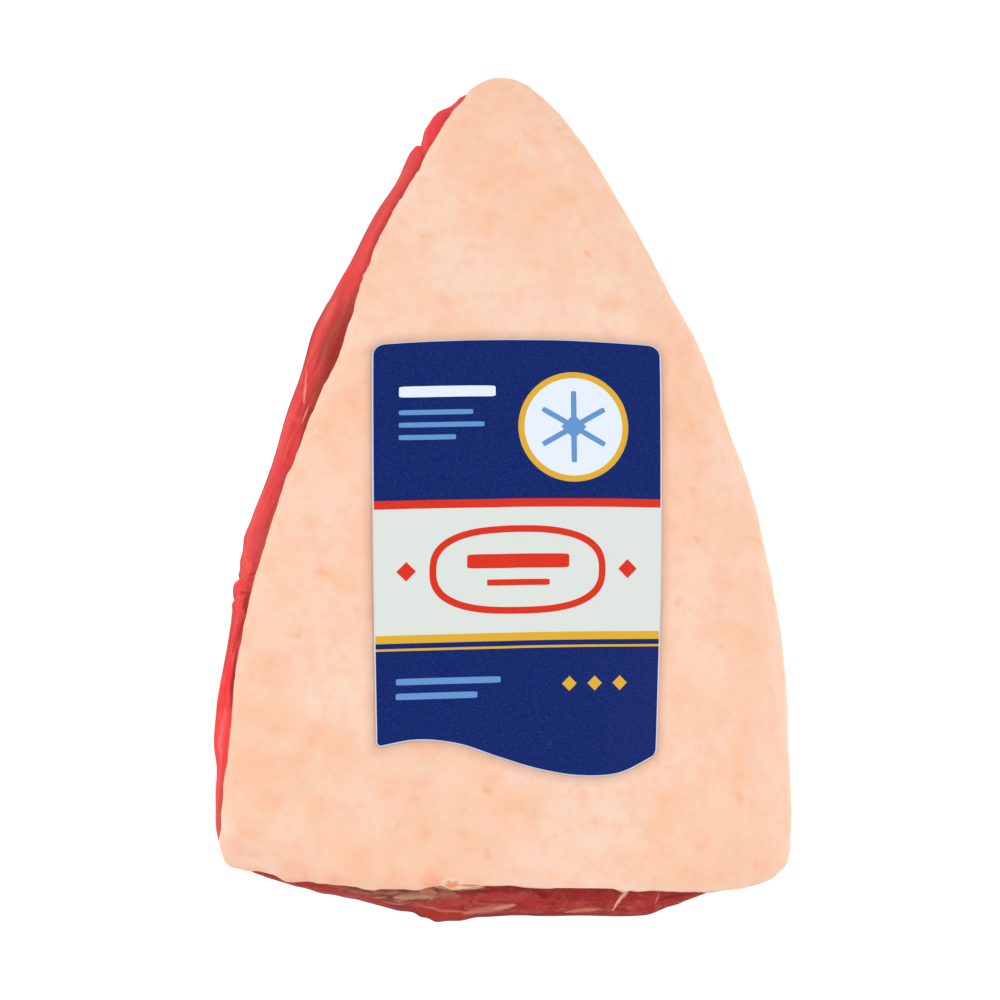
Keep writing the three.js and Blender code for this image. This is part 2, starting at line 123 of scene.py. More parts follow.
# Soft strokes on the lean, from one (place, drop) to another: side, line, half width, colour and strength.
# Some are painted highlights and some painted shade, as noted, and the others are the lean's own colours.
# Those that are thinner than THIN are straight, and the others sway. APART keeps the strokes of one side
# off the other.
THIN = 0.65
APART = 1000
STROKES = [
    # A painted highlight on the bundle beside the furrow.
    (LEFT, [(57, 0.45), (46, 0.46)], 1.4, (232, 134, 116), 0.4),
    (LEFT, [(85, 0.43), (75, 0.42)], 1.4, (255, 76, 80), 0.6),
    (LEFT, [(72, 0.47), (62, 0.46)], 1.6, (252, 72, 74), 0.5),
    # Painted highlights on the bundle, the last a thin pale highlight line.
    (LEFT, [(32, 0.485), (25, 0.4)], 0.5, (250, 142, 130), 0.7),
    (LEFT, [(28.5, 0.43), (22.5, 0.36)], 0.64, (252, 162, 148), 0.8),
    (LEFT, [(23.6, 0.321), (16.4, 0.326)], 0.17, (250, 192, 174), 1),
    (LEFT, [(-15, 0.36), (-31, 0.36)], 2.4, (212, 80, 82), 0.6),
    (LEFT, [(-26, 0.52), (-33, 0.36)], 0.8, (246, 104, 92), 0.6),
    # Painted shade in the knot's creases, and a painted highlight between them.
    (LEFT, [(-34.4, 0.29), (-37.4, 0.48)], 0.5, (166, 38, 42), 0.6),
    (LEFT, [(-38.6, 0.33), (-39.3, 0.44)], 1.2, (246, 66, 56), 0.8),
    (LEFT, [(-41, 0.3), (-41.4, 0.44)], 0.8, (160, 34, 36), 0.6),
    (LEFT, [(-43, 0.34), (-49, 0.46)], 0.9, (246, 76, 58), 0.7),
    # Painted shadow under the fat's edge.
    (LEFT, [(-41, 0.315), (-49, 0.32)], 1.2, (150, 30, 32), 0.85),
    (LEFT, [(-50, 0.335), (-58, 0.322)], 0.9, (172, 38, 42), 0.7),
    (LEFT, [(-43, 0.5), (-68, 0.46)], 2.8, (204, 44, 48), 0.65),
    (LEFT, [(-53, 0.37), (-62, 0.35)], 1.6, (188, 46, 50), 0.55),
    # Painted shadow under the fat's edge.
    (LEFT, [(-60, 0.318), (-81, 0.314)], 0.9, (146, 28, 36), 0.9),
    (LEFT, [(-62, 0.39), (-78, 0.39)], 1.6, (255, 50, 48), 0.8),
    # A painted highlight.
    (LEFT, [(-80, 0.36), (-99, 0.42)], 1.9, (248, 122, 128), 0.7),
    (LEFT, [(-95, 0.42), (-120, 0.38)], 1.5, (246, 104, 108), 0.35),
    (WIDE, [(-55, 0.29), (-39, 0.3)], 1, (124, 82, 68), 0.6),
    (WIDE, [(-56, 0.325), (-46, 0.34)], 0.8, (180, 124, 104), 0.5),
    (WIDE, [(-39, 0.345), (-26, 0.33)], 1.1, (210, 160, 132), 0.8),
    (WIDE, [(-38, 0.3), (-30, 0.29)], 0.8, (128, 84, 64), 0.8),
    (WIDE, [(-31, 0.285), (-25, 0.295)], 1.2, (222, 146, 114), 0.7),
    (WIDE, [(-46, 0.395), (-36, 0.4)], 0.9, (112, 40, 38), 0.7),
    (WIDE, [(-36, 0.38), (-25, 0.36)], 0.7, (124, 46, 42), 0.7),
    (WIDE, [(-31, 0.41), (-21, 0.4)], 1.4, (190, 66, 64), 0.6),
    (WIDE, [(-42, 0.43), (-34, 0.435)], 0.5, (206, 138, 122), 0.6),
    (WIDE, [(-42, 0.49), (-30, 0.48)], 0.7, (124, 36, 30), 0.7),
    (WIDE, [(-30, 0.415), (-12, 0.455)], 0.5, (206, 130, 104), 0.6),
    (WIDE, [(-25, 0.305), (-17, 0.32)], 1.3, (186, 116, 106), 0.6),
    (WIDE, [(-20, 0.292), (-6, 0.29)], 0.7, (104, 44, 38), 0.75),
    (WIDE, [(-26, 0.262), (-9, 0.262)], 0.6, (232, 190, 164), 0.9),
    (WIDE, [(-12, 0.33), (6, 0.32)], 1.2, (192, 84, 80), 0.45),
    (WIDE, [(3, 0.37), (12, 0.36)], 0.8, (190, 50, 42), 0.6),
    (WIDE, [(9, 0.3), (13, 0.31)], 1.2, (110, 26, 28), 0.6),
    (WIDE, [(-15, 0.475), (2, 0.41)], 1.9, (206, 142, 120), 0.65),
    (WIDE, [(-5, 0.435), (1.5, 0.41)], 1.3, (214, 162, 136), 0.5),
    (WIDE, [(18, 0.49), (31, 0.43)], 1.3, (206, 140, 112), 0.8),
    (WIDE, [(41.5, 0.235), (37.2, 0.315)], 0.6, (240, 188, 170), 1),
    (WIDE, [(39, 0.283), (35.2, 0.37)], 0.55, (240, 188, 170), 1),
    (WIDE, [(36.4, 0.335), (33.9, 0.46)], 0.42, (236, 178, 160), 1),
    (WIDE, [(53, 0.19), (49.6, 0.34)], 0.4, (214, 136, 122), 0.8),
    (WIDE, [(51, 0.3), (66, 0.13)], 1.3, (116, 30, 30), 0.65),
]
# Colours from 0 to 255. Where the lean has two, the second is the wide end's, which is partly the end's own
# browner cut and partly painted shade, and where the furrow has two, the second is its strands'. The furrow's
# colours are painted shade in its hollow, and the colour for the low side and beside the fat is painted
# shade.
LEAN_COLOURS = {
    "bright": [(237, 85, 84), (178, 60, 53)],
    "deep": [(209, 57, 59), (136, 38, 36)],
    "light": [(240, 106, 104), (200, 96, 84)],
    "furrow": [(172, 56, 54), (184, 74, 66)],
    "pale": (180, 106, 98),
    "clot": (112, 34, 30),
    "warm": (250, 104, 84),
    "cool": (230, 84, 102),
    "painted_shade": (110, 26, 28),
    "band": (182, 44, 34),
    "strand": (186, 108, 88),
    "membrane": (150, 90, 76),
    "pale membrane": (210, 160, 132),
    "dark membrane": (110, 52, 44),
    "silverskin": (222, 176, 176),
}
FAT_COLOURS = {
    "plain": (253, 208, 179),
    "rim": (244, 178, 140),
    "stain": (248, 158, 116),
    "cut": (246, 196, 168),
    "curl": (228, 150, 105),
    "round the curl": (250, 218, 194),
    "sliver": (176, 124, 94),
    "painted_label_shadow": (176, 136, 112),
}
LABEL_COLOURS = {"ground": (8, 36, 108), "fibre": (200, 205, 215), "rim": (214, 214, 232)}
# How the left side's colour drifts along it: the place where a drift starts, the one where it is full, its
# strength and its colour.
DRIFTS = [
    (20, 100, 0.35, (224, 92, 88)),
    (104, 124, 0.75, (240, 76, 82)),
    (-60, -90, 0.75, (255, 66, 62)),
    (-88, -118, 0.7, (196, 84, 84)),
]
# Mottling of the fat: size, the noise where a patch starts and where it is full, strength, colour and
# detail.
MOTTLING = [
    (30, 0.36, 0.68, 0.65, (252, 194, 160), 3),
    (42, 0.42, 0.7, 0.7, (250, 221, 203), 2),
    (14, 0.38, 0.75, 0.5, (254, 215, 200), 2),
    (10, 0.42, 0.78, 0.6, (250, 190, 156), 2),
    (6, 0.4, 0.8, 0.4, (246, 213, 192), 2),
    (4.4, 0.42, 0.8, 0.38, (248, 188, 160), 2),
    (7.7, 0.66, 0.84, 0.5, (244, 166, 126), 1),
]
# Painted shade: the lean is darker low on its side, and under the fat's edge in stretches of the left side.
# A stretch is given by the places where it starts, is full, is still full and ends, and by its share.
PAINTED_SHADE = {"low": 0.64, "beside fat": 0.3, "stretches": [(-90, -70, -5, 5, 1), (72, 80, 106, 122, 0.7)]}
# The underside takes this share of the wide end's colours.
END_SHARE_UNDER = 0.35

# Where the fat's edge stands out or draws back: side, place, how far out, and how far it eases off below
# that place and above it.
EDGES = [
    (LEFT, 141, -0.8, 5, 5),
    (LEFT, 112, -0.7, 1.5, 4),
    (LEFT, 100, 0.5, 12, 0.8),
    (LEFT, 75, -0.4, 3, 4),
    (LEFT, 71, 0.4, 2, 0.8),
    (LEFT, 56, -0.7, 4, 5),
    (LEFT, 21.5, -0.4, 2.5, 4),
    (LEFT, -3.5, 0.5, 7, 5),
    (LEFT, -107, 0.6, 8, 9),
    (LEFT, -122, -0.8, 6, 6),
    (LEFT, -131, -0.4, 5, 6),
    (WIDE, -76, 1.5, 5, 7),
    (WIDE, -48, 0.7, 6, 3),
    (WIDE, -34, 0.7, 5, 5),
    (WIDE, -21, 1.4, 4, 12),
    (WIDE, 0, -0.5, 16, 14),
    (WIDE, 33, -2, 30, 12),
    (WIDE, 39.6, 1.2, 7, 1),
    (WIDE, 51, -0.8, 9, 15),
]
# Warm stains on the fat: place in the part's frame, radius and strength.
STAINS = [
    (-92, -134, 15, 0.35),
    (-77, -144.5, 7, 1),
    (-75, -141, 8, 0.6),
    (-62, -143, 6, 0.5),
    (-42, -143.5, 8, 0.3),
    (-29, -141.5, 6, 0.7),
    (-15, -143, 5, 0.4),
]
# A small curl of fat at the wide end: its middle and half sizes, how low it reaches, and twice the most
# that its outline sways, with the sway's grains to a metre.
CURL = {"middle": (-21.8, -142.7), "half": (2.5, 1.5), "lowest": 36.6, "sway": 4, "grains": 300}
# A brown sliver along the fat's edge beside the curl: its two ends and half width.
SLIVER = {"ends": [(-20, -142.8, 0), (-9.5, -143.1, 0)], "half": 0.6}
# The fat is a little darker round the label: a painted shadow of the label.
PAINTED_LABEL_SHADOW = {"width": 4.5, "depth": 0.3}
# The fat's fine lobes: how many to a metre, and their relief.
LOBES = {"count": 300, "relief": 0.1}

# The label's outline, as in the CAD: its lower edge is a wave, given by its depth at even steps. Then come
# the paper's thickness, how far it lies off the fat, how far its edges curl up and over what width, its
# unprinted rim, and the points of its mesh.
LABEL = {
    "width": 101.1,
    "height": 141.8,
    "taper": 3.2,
    "skew": 1.1,
    "rise": 4.4,
    "crown": 1.45,
    "bow": 0.6,
    "upper corner": 4.5,
    "lower corner": 2,
    "wave": [0, -1.9, -0.1, 4.8, 9.3, 11.9, 11.5, 5.3],
    "thickness": 0.3,
    "lift": 0.42,
    "curl": 0.3,
    "curl width": 3,
    "bare rim": 0.45,
    "columns": 90,
    "rows": 120,
}
# Fine steps for each step of the wave, the points on each of the outline's sides where it is measured, the
# rows in between, and a height well over the fat, from which the sheet is dropped on it.
WAVE_STEPS = 8
OUTLINE_POINTS = 200
OUTLINE_ROWS = 50
DROP_HEIGHT = 100
INKS = {
    "pale": (222, 228, 224),
    "red": (220, 50, 30),
    "gold": (225, 175, 50),
    "blue": (100, 150, 210),
    "white": (230, 240, 255),
}
# The print: ink, middle from the label's lower left corner, half width, half height, power, and turn in
# degrees. Power 1 makes a diamond, 2 a disc, 2.6 a rounded panel, and 12 or more a bar.
PRINT = [
    ("pale", 50, 60, 60, 22, 200, 0),
    ("red", 50, 83.5, 60, 1.5, 200, 0),
    ("gold", 50, 36.6, 60, 1.4, 200, 0),
    ("gold", 50, 33, 60, 0.4, 200, 0),
    ("red", 50, 60, 31, 15.5, 2.6, 0),
    ("pale", 50, 60, 28.6, 13.1, 2.6, 0),
    ("red", 50, 63, 18, 2.5, 12, 0),
    ("red", 50, 55.5, 11, 1.1, 12, 0),
    ("red", 11, 60, 3.4, 3.4, 1, 0),
    ("red", 89, 60, 3.4, 3.4, 1, 0),
    ("gold", 70, 111, 20, 20, 2, 0),
    ("white", 70, 111, 17.8, 17.8, 2, 0),
    ("blue", 70, 111, 13, 1, 12, 30),
    ("blue", 70, 111, 13, 1, 12, 90),
    ("blue", 70, 111, 13, 1, 12, 150),
    ("blue", 70, 111, 4.6, 4.6, 1, 0),
    ("white", 25, 124, 17, 2, 12, 0),
    ("blue", 21, 116.5, 13, 0.9, 12, 0),
    ("blue", 23, 112, 15, 0.9, 12, 0),
    ("blue", 18, 107.5, 10, 0.9, 12, 0),
    ("blue", 26, 22, 18, 1.1, 12, 0),
    ("blue", 22, 17, 14, 1.1, 12, 0),
    ("gold", 68, 20, 2.6, 2.6, 1, 0),
    ("gold", 77, 20, 2.6, 2.6, 1, 0),
    ("gold", 86, 20, 2.6, 2.6, 1, 0),
]


def srgb(red, green, blue):
    """A colour given from 0 to 255, as the shader wants it."""
    def linear(v):
        v /= 255
        return v / 12.92 if v <= 0.04045 else ((v + 0.055) / 1.055) ** 2.4
    return (linear(red), linear(green), linear(blue), 1.0)


def smoothstep(low, high, values):
    t = np.clip((values - low) / (high - low), 0, 1)
    return t * t * (3 - 2 * t)


def noise(points, size, seed):
    """Smooth random values from -1 to 1 that change over about size, given points as (..., 3)."""
    p = points / size + seed * 7.31
    cell = np.floor(p).astype(np.int64)
    t = p - cell
    t = t * t * (3 - 2 * t)
    total = np.zeros(p.shape[:-1])
    for corner in itertools.product((0, 1), repeat=3):
        c = cell + np.array(corner)
        mixed = (c[..., 0] * 73856093) ^ (c[..., 1] * 19349663) ^ (c[..., 2] * 83492791) ^ (seed * 2654435761)
        mixed = (mixed ^ (mixed >> 13)) * 1274126177 & 0xFFFFFFFF
        value = ((mixed ^ (mixed >> 16)) & 0xFFFF) / 32767.5 - 1
        total += value * np.where(np.array(corner), t, 1 - t).prod(axis=-1)
    return total


def relief(points, layers):
    """Uneven heights at points, from layers of height, size and seed."""
    return sum(height * noise(points, size, seed) for height, size, seed in layers)


def cad_rings(name):
    """A CAD skin's points as (rings, sections, 3), from its upper pole to its lower one."""
    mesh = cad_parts[name].data
    flat = np.empty(len(mesh.vertices) * 3, np.float32)
    mesh.vertices.foreach_get("co", flat)
    points, same = np.unique(flat.reshape(-1, 3), axis=0, return_inverse=True)
    ends = np.empty(len(mesh.edges) * 2, np.int32)
    mesh.edges.foreach_get("vertices", ends)
    near = [set() for _ in points]
    for a, b in same.reshape(-1)[ends].reshape(-1, 2).tolist():
        near[a].add(b)
        near[b].add(a)
    poles = sorted(range(len(points)), key=lambda i: len(near[i]))[-2:]
    upper, lower = sorted(poles, key=lambda i: -points[i][2])
    count = len(near[upper])
    away = points[:, :2] - points[upper, :2]
    turn = np.arctan2(away[:, 1], away[:, 0]) % (2 * math.pi)
    turn[[upper, lower]] = math.inf
    order = np.argsort(turn)[:-2].reshape(count, -1)
    sections = []
    for members in order.tolist():
        left = set(members)
        path = [upper]
        while left:
            here = (near[path[-1]] & left).pop()
            left.remove(here)
            path.append(here)
        sections.append(path + [lower])
    return points[np.array(sections).T].astype(float) / MM


def refine(points, steps, closed=False, level=False):
    """Finer rows along the first axis, on a smooth curve through the points: steps[i] after the i-th.

    level keeps a dome round in the middle, where all the curves start from one pole.
    """
    if closed:
        points = np.concatenate([points[-2:], points, points[:3]])
        steps = [0, 0, *steps, 0, 0]
    chord = np.diff(points, axis=0)
    length = np.linalg.norm(chord, axis=-1, keepdims=True) + 1e-9
    slope = chord / length
    inner = (slope[:-1] * length[1:] + slope[1:] * length[:-1]) / (length[:-1] + length[1:])
    tangent = np.concatenate([slope[:1], inner, slope[-1:]])
    if level:
        tangent[0, :, 2] -= tangent[0, :, 2].mean()
    rows = []
    for i, count in enumerate(steps):
        for t in np.arange(count) / max(count, 1):
            pull = t * (1 - t) ** 2 * tangent[i] - t**2 * (1 - t) * tangent[i + 1]
            blend = t * t * (3 - 2 * t)
            rows.append((1 - blend) * points[i] + blend * points[i + 1] + length[i] * pull)
    if not closed:
        rows.append(points[-1])
    return np.array(rows)


def refine_columns(rings):
    return refine(rings.swapaxes(0, 1), [COLUMNS] * rings.shape[1], closed=True).swapaxes(0, 1)


def straight(points, count):
    """count rows at even steps, from the first row of points towards the second, which is left out."""
    share = (np.arange(count) / count)[:, None, None]
    return points[0] * (1 - share) + points[1] * share


def normals(rows):
    """Outward directions at the points of a skin."""
    across = np.roll(rows, -1, axis=1) - np.roll(rows, 1, axis=1)
    out = np.cross(np.gradient(rows, axis=0), across)
    return out / (np.linalg.norm(out, axis=-1, keepdims=True) + 1e-9)


def along(rows):
    """How far round the skin each column lies, measured on its widest row."""
    widest = rows[np.ptp(rows[..., 0], axis=1).argmax()]
    steps = np.linalg.norm(np.roll(widest, -1, axis=0) - widest, axis=-1)
    return np.concatenate([[0], np.cumsum(steps)[:-1]])


def flat_list(values):
    """Values on a skin's rows in the order of its mesh points: each end row is a single point."""
    inner = values[1:-1].reshape(-1, *values.shape[2:])
    return np.concatenate([values[:1, 0], inner, values[-1:, 0]])


def make_object(name, points, faces, material, node):
    mesh = bpy.data.meshes.new(name)
    mesh.from_pydata((points * MM).tolist(), [], faces)
    mesh.validate()
    mesh.shade_smooth()
    mesh.materials.append(material)
    made = bpy.data.objects.new(name, mesh)
    bpy.context.scene.collection.objects.link(made)
    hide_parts(node)
    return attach(made, "root")


def skin_faces(rings, n):
    """Faces of a closed skin of rings of n points between two poles."""
    last = 1 + rings * n
    i = np.arange(n)
    j = (i + 1) % n
    start = (1 + np.arange(rings - 1) * n)[:, None]
    quads = np.stack([start + i, start + n + i, start + n + j, start + j], axis=-1).reshape(-1, 4)
    upper = np.stack([np.zeros(n, int), 1 + i, 1 + j], axis=-1)
    lower = np.stack([last + 0 * i, last - n + j, last - n + i], axis=-1)
    return upper.tolist() + quads.tolist() + lower.tolist()


def make_skin(name, rows, material, node, masks):
    made = make_object(name, flat_list(rows), skin_faces(len(rows) - 2, rows.shape[1]), material, node)
    for mask, values in masks.items():
        vector = values.ndim == 3
        attribute = made.data.attributes.new(mask, "FLOAT_VECTOR" if vector else "FLOAT", "POINT")
        values = flat_list(values).astype(np.float32)
        attribute.data.foreach_set("vector" if vector else "value", values.ravel())
    return made


class Nodes:
    """Puts one material's nodes together.

    Each call adds one or more and returns an output, but finish returns the material.
    """

    def __init__(self, name):
        self.material = bpy.data.materials.new(name)
        self.material.use_nodes = True
        self.tree = self.material.node_tree
        self.tree.nodes.clear()

    def add(self, kind, inputs=(), output=0, **settings):
        made = self.tree.nodes.new("ShaderNode" + kind)
        for key, value in settings.items():
            setattr(made, key, value)
        for socket, value in dict(inputs).items():
            if isinstance(value, bpy.types.NodeSocket):
                self.tree.links.new(value, made.inputs[socket])
            else:
                made.inputs[socket].default_value = value
        return made.outputs[output] if made.outputs else None

    def math(self, operation, a, b=0.0, third=0.0, clamp=False):
        return self.add("Math", {0: a, 1: b, 2: third}, operation=operation, use_clamp=clamp)

    def mask(self, name, output="Fac"):
        return self.add("Attribute", output=output, attribute_name=name)

    def ramp(self, value, low, high, start=0.0, end=1.0):
        return self.add(
            "MapRange", {0: value, 1: low, 2: high, 3: start, 4: end}, interpolation_type="SMOOTHSTEP"
        )

    def grain(self, place, size, detail=3.0, rough=0.55, stretch=(1, 1, 1)):
        """Noise from 0 to 1 whose grains are about size millimetres, longer where stretch is above 1."""
        scale = tuple(1 / MM / (size * s) for s in stretch)
        place = self.add("VectorMath", {0: place, 1: scale}, operation="MULTIPLY")
        return self.add("TexNoise", {"Vector": place, "Scale": 1.0, "Detail": detail, "Roughness": rough})

    def mix(self, share, a, b):
        return self.add("Mix", {0: share, 6: a, 7: b}, output=2, data_type="RGBA")

    def tint(self, colour, shade, *shares):
        """A colour mixed with a shade, which is given from 0 to 255, by the product of the shares."""
        share = shares[0]
        for more in shares[1:]:
            share = self.math("MULTIPLY", share, more)
        return self.mix(share, colour, srgb(*shade))

    def sway(self, place, scale, reach):
        """Smooth random steps of at most half of reach along each axis."""
        random = self.add("TexNoise", {"Vector": place, "Scale": scale, "Detail": 2.0}, output="Color")
        steps = self.add("VectorMath", {0: random, 1: (0.5, 0.5, 0.5)}, operation="SUBTRACT")
        return self.add("VectorMath", {0: steps, 1: reach}, operation="MULTIPLY")

    def bump(self, height, depth, normal=None):
        """Relief of depth millimetres between heights 0 and 1."""
        inputs = {"Height": height, "Distance": depth * MM, "Strength": 1.0}
        if normal:
            inputs["Normal"] = normal
        return self.add("Bump", inputs)

    def stroke(self, point, start, end, width):
        """1 along the middle of a stroke between two ends, 0 at its half width, which shrinks to the ends."""
        step = Vector(end) - Vector(start)
        away = self.add("VectorMath", {0: point, 1: start}, operation="SUBTRACT")
        along_step = step / step.length_squared
        share = self.add("VectorMath", {0: away, 1: along_step}, "Value", operation="DOT_PRODUCT")
        share = self.math("ADD", share, 0, clamp=True)
        nearest = self.add("VectorMath", {0: step, "Scale": share}, operation="SCALE")
        away = self.add("VectorMath", {0: away, 1: nearest}, "Value", operation="DISTANCE")
        from_middle = self.math("POWER", self.math("MULTIPLY_ADD", share, 2, third=-1), 2)
        half = self.math("MULTIPLY_ADD", from_middle, -0.85 * width, third=width)
        return self.math("SUBTRACT", 1, self.math("DIVIDE", away, half))

    def finish(self, **inputs):
        named = {key.replace("_", " "): value for key, value in inputs.items()}
        shader = self.add("BsdfPrincipled", named)
        self.add("OutputMaterial", {"Surface": shader})
        return self.material


# Light, floor and camera


def look_down():
    tilt = math.radians(CAMERA["tilt"])
    lean = math.radians(CAMERA["lean"])
    back = Vector((-math.sin(lean), -math.sin(tilt) * math.cos(lean), math.cos(tilt) * math.cos(lean)))
    up = (Vector((0, 1, 0)) - back.y * back).normalized()
    camera = bpy.data.objects.new("camera", bpy.data.cameras.new("camera"))
    camera.data.lens = CAMERA["lens"]
    camera.matrix_world = Matrix((up.cross(back), up, back)).transposed().to_4x4()
    low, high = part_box("label")
    middle = (Vector(low) + Vector(high)) / 2 / MM
    target = Vector((middle.x + CAMERA["aim"][0], middle.y + CAMERA["aim"][1], CAMERA["height"]))
    camera.location = (target + CAMERA["distance"] * back) * MM
    bpy.context.scene.collection.objects.link(camera)
    bpy.context.scene.camera = camera


def light_up():
    for name, lamp in LAMPS.items():
        data = bpy.data.lights.new(name, "AREA")
        data.shape = "DISK"
        data.size = lamp["size"]
        data.energy = lamp["power"]
        made = bpy.data.objects.new(name, data)
        made.location = lamp["place"]
        made.rotation_euler = Vector(lamp["place"]).to_track_quat("Z", "Y").to_euler()
        bpy.context.scene.collection.objects.link(made)
    world = bpy.data.worlds.new("sky")
    world.use_nodes = True
    tree = world.node_tree
    sky = tree.nodes["Background"]
    sky.inputs["Color"].default_value = srgb(*SKY["colour"])
    direction = tree.nodes.new("ShaderNodeTexCoord")
    parts = tree.nodes.new("ShaderNodeSeparateXYZ")
    fade = tree.nodes.new("ShaderNodeMapRange")
    fade.inputs["To Min"].default_value = SKY["horizon"]
    fade.inputs["To Max"].default_value = SKY["overhead"]
    tree.links.new(direction.outputs["Generated"], parts.inputs[0])
    tree.links.new(parts.outputs["Z"], fade.inputs["Value"])
    tree.links.new(fade.outputs[0], sky.inputs["Strength"])
    bpy.context.scene.world = world
    bpy.context.scene.view_settings.view_transform = "Standard"


def make_floor():
    half = FLOOR["side"] / 2
    z = -FLOOR["gap"] * MM
    corners = [(-half, -half, z), (half, -half, z), (half, half, z), (-half, half, z)]
    mesh = bpy.data.meshes.new("floor")
    mesh.from_pydata(corners, [], [(0, 1, 2, 3)])
    floor = bpy.data.objects.new("floor", mesh)
    nodes = Nodes("floor")
    mesh.materials.append(
        nodes.finish(
            Base_Color=srgb(*FLOOR["shade"]),
            Roughness=0.9,
            Emission_Color=(1, 1, 1, 1),
            Emission_Strength=FLOOR["glow"],
        )
    )
    bpy.context.scene.collection.objects.link(floor)


# The lean


def muscle_colour(nodes, place, grain, fibres, bundles, end):
    """Cut muscle, bright on the sides, browner and partly darkened with painted shade at the wide end, with
    pale patches and clots.
    """

    def by_end(name):
        return nodes.mix(end, *(srgb(*shade) for shade in LEAN_COLOURS[name]))

    deep = by_end("deep")
    colour = nodes.mix(nodes.ramp(fibres, 0.3, 0.7, 0, 0.45), by_end("bright"), deep)
    colour = nodes.mix(nodes.ramp(bundles, 0.42, 0.72, 0, 0.6), colour, deep)
    patches = nodes.grain(place, 6, detail=3)
    colour = nodes.mix(nodes.ramp(patches, 0.5, 0.72, 0, 0.45), colour, by_end("light"))
    pale = nodes.grain(grain, 3, detail=4, rough=0.62, stretch=(1.8, 1, 1))
    colour = nodes.tint(colour, LEAN_COLOURS["pale"], nodes.ramp(pale, 0.5, 0.72, 0, 0.6), end)
    clots = nodes.grain(place, 3.5, detail=4, rough=0.62)
    return nodes.tint(colour, LEAN_COLOURS["clot"], nodes.ramp(clots, 0.54, 0.72, 0, 0.6), end)


def left_colour(nodes, colour, grain, spot, left):
    """Warm and cool streaks on the left side, and the drifts of its colour."""
    streaks = nodes.grain(grain, 3.2, stretch=(5, 1, 1))
    colour = nodes.tint(colour, LEAN_COLOURS["warm"], nodes.ramp(streaks, 0.5, 0.7, 0, 0.45), left)
    colour = nodes.tint(colour, LEAN_COLOURS["cool"], nodes.ramp(streaks, 0.48, 0.3, 0, 0.4), left)
    along_left = nodes.add("SeparateXYZ", {0: spot})
    for start, full, most, shade in DRIFTS:
        colour = nodes.tint(colour, shade, nodes.ramp(along_left, start, full, 0, most), left)
    return colour


def mark_colour(nodes, colour, grain, fibres, cells):
    """The furrow, darkened with painted shade, with its strands, the bright band and the torn membrane."""

    def ragged(kind, source, rough, low, high):
        """Where a kind of mark is, with an edge made uneven by a grain."""
        uneven = nodes.math("MULTIPLY", nodes.math("SUBTRACT", source, 0.5), rough)
        return nodes.ramp(nodes.math("ADD", nodes.mask(kind), uneven), low, high)

    # The furrow's dark red is painted shade in its hollow under the fat.
    plain, with_strands = LEAN_COLOURS["furrow"]
    furrow = nodes.mix(ragged("strand", cells, 2, -1, 0), srgb(*plain), srgb(*with_strands))
    colour = nodes.mix(ragged("dark", fibres, 1.2, -0.2, 0.6), colour, furrow)
    colour = nodes.tint(colour, LEAN_COLOURS["band"], ragged("bright", fibres, 0.8, 0, 0.7))
    strands = nodes.grain(grain, 0.6, stretch=(4, 1, 1))
    colour = nodes.tint(colour, LEAN_COLOURS["strand"], ragged("strand", strands, 4, 0, 1.6), 0.5)
    tissue = nodes.grain(grain, 2, detail=4, stretch=(3, 1, 1))
    colour = nodes.tint(colour, LEAN_COLOURS["membrane"], ragged("fascia", tissue, 2, 0, 0.8), 0.75)
    tissue = nodes.grain(grain, 1.5, detail=4, rough=0.6, stretch=(3.5, 1, 1))
    pale = ragged("fascia", tissue, 6, 0.4, 2.2)
    colour = nodes.tint(colour, LEAN_COLOURS["pale membrane"], pale, 0.85)
    tissue = nodes.grain(grain, 1.1, detail=4, rough=0.6, stretch=(4.5, 1.1, 1))
    return nodes.tint(colour, LEAN_COLOURS["dark membrane"], ragged("fascia", tissue, 7, 0.5, 2.2))


def stroke_colour(nodes, colour, spot, fibres, height):
    """The strokes, among them painted highlights and shade: thin ones straight and whole, and the others
    swaying and broken by the fibres.
    """
    swayed = nodes.add("VectorMath", {0: spot, 1: nodes.sway(spot, 0.3, (3, 1, 0))}, operation="ADD")
    broken = nodes.ramp(fibres, 0.25, 0.6, 0.6, 1)
    for side, line, width, shade, most in STROKES:
        ends = [(p, d * height, APART * (side == WIDE)) for p, d in line]
        thin = width < THIN
        near = nodes.stroke(spot if thin else swayed, *ends, width)
        colour = nodes.tint(colour, shade, nodes.ramp(near, 0, 1, 0, most), 1 if thin else broken)
    return colour


